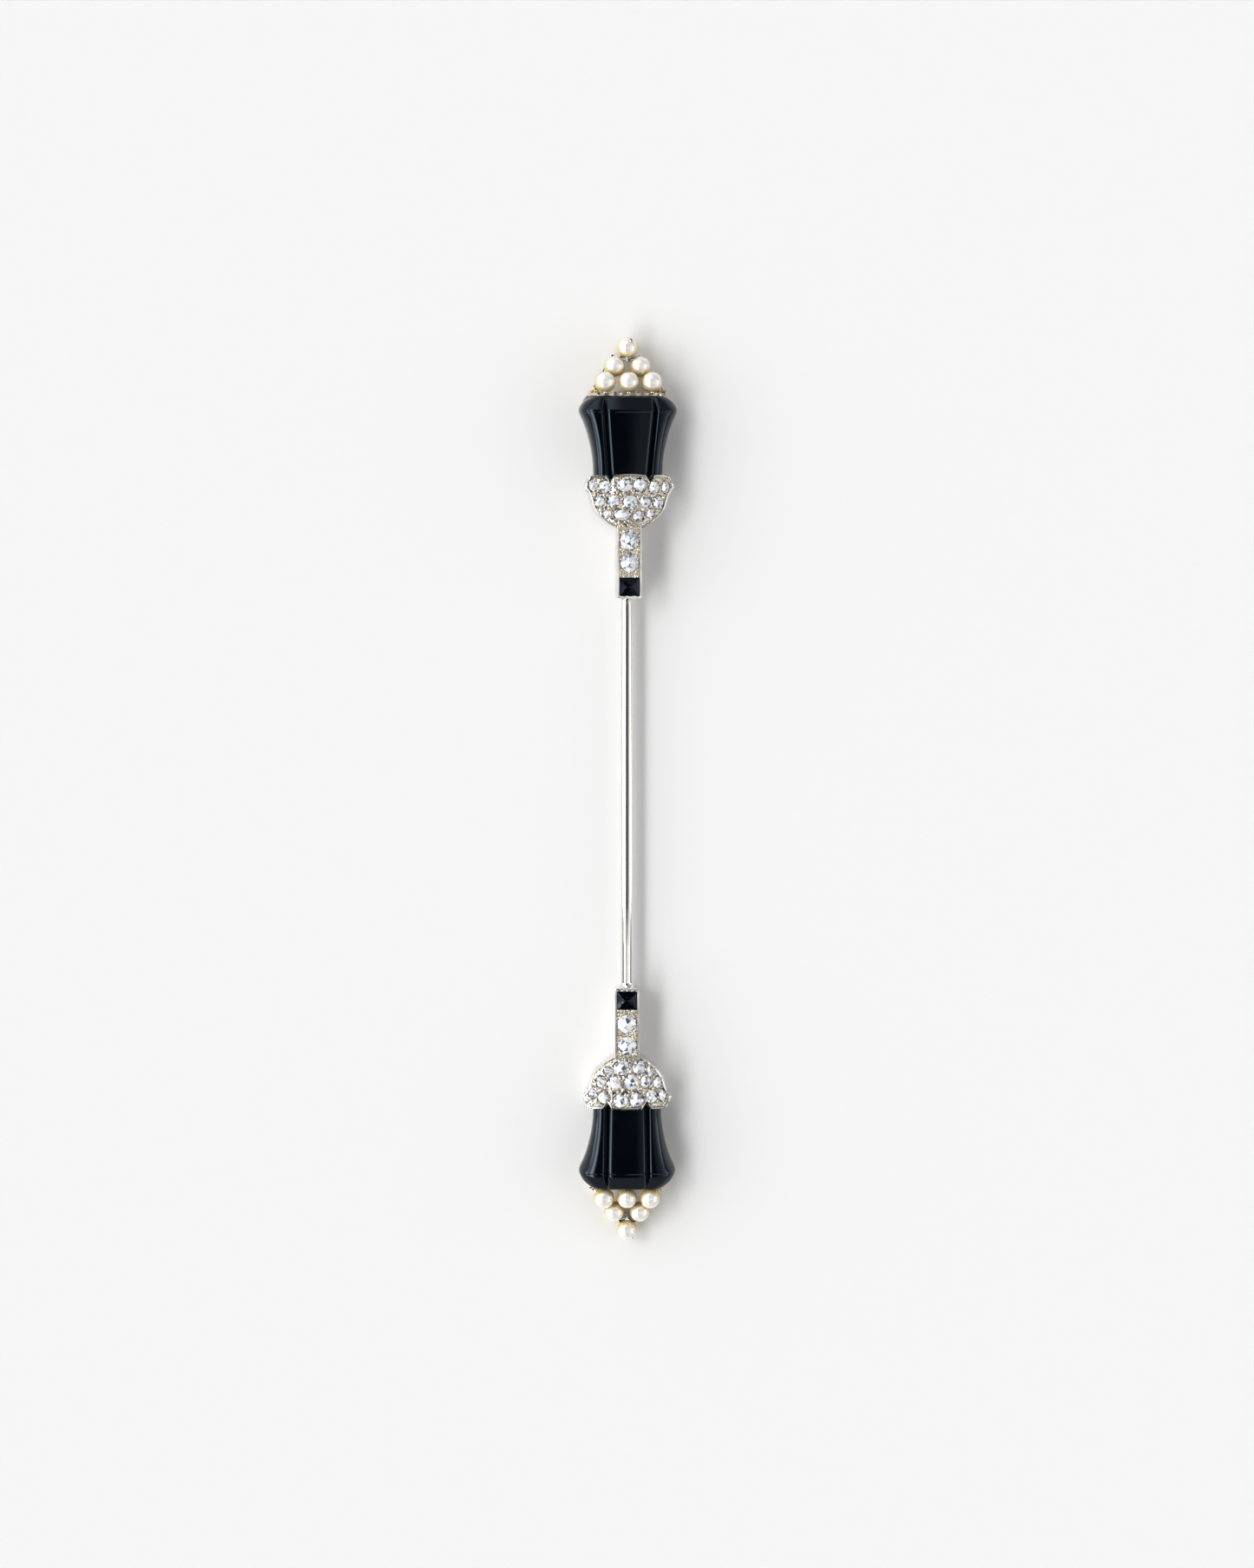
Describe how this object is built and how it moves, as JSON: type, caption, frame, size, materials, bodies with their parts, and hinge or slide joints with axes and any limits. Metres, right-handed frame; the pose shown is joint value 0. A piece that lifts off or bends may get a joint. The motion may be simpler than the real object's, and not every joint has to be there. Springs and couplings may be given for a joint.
{
  "type": "jabot pin",
  "caption": "Bar brooch worn as a jabot pin: a polished wire between two bell-shaped ends of black stone, pearls and rose-cut stones; one end slips off the wire's point",
  "frame": {"origin": "On the surface that the pin lies on, below the middle of its length and width", "axes": "+Z is the front of the jewel, +Y runs along the wire towards the slip-on end, +X is to the right"},
  "size_m": [0.0096, 0.0888, 0.0049],
  "materials": {
    "white_metal": "polished white metal, grain-set work left a little softer",
    "onyx": "polished black",
    "pearl": "pearly cream lustre",
    "rose_cut_stone": "clear faceted, icy white"
  },
  "bodies": {
    "pin": {"pin_mount": "white_metal", "pin_onyx_bell": "onyx", "pin_square_stone": "onyx", "pin_bar_stone_inner": "rose_cut_stone", "pin_bar_stone_outer": "rose_cut_stone", "pin_grain_set_stones": "rose_cut_stone", "pin_pearl_left": "pearl", "pin_pearl_middle": "pearl", "pin_pearl_right": "pearl", "pin_pearl_second_left": "pearl", "pin_pearl_second_right": "pearl", "pin_pearl_tip": "pearl"},
    "clutch": {"clutch_sleeve": "white_metal"},
    "slip_end": {"slip_mount": "white_metal", "slip_onyx_bell": "onyx", "slip_square_stone": "onyx", "slip_bar_stone_inner": "rose_cut_stone", "slip_bar_stone_outer": "rose_cut_stone", "slip_grain_set_stones": "rose_cut_stone", "slip_pearl_left": "pearl", "slip_pearl_middle": "pearl", "slip_pearl_right": "pearl", "slip_pearl_second_left": "pearl", "slip_pearl_second_right": "pearl", "slip_pearl_tip": "pearl"}
  },
  "joints": [
    {"name": "end_slide", "type": "slide", "parent": "pin", "child": "clutch", "axis": [0, 1, 0], "range_m": [0, 0.015]},
    {"name": "end_swivel", "type": "hinge", "parent": "clutch", "child": "slip_end", "pos_m": [0, 0.02315, 0.00155], "axis": [0, 1, 0], "continuous": true}
  ]
}
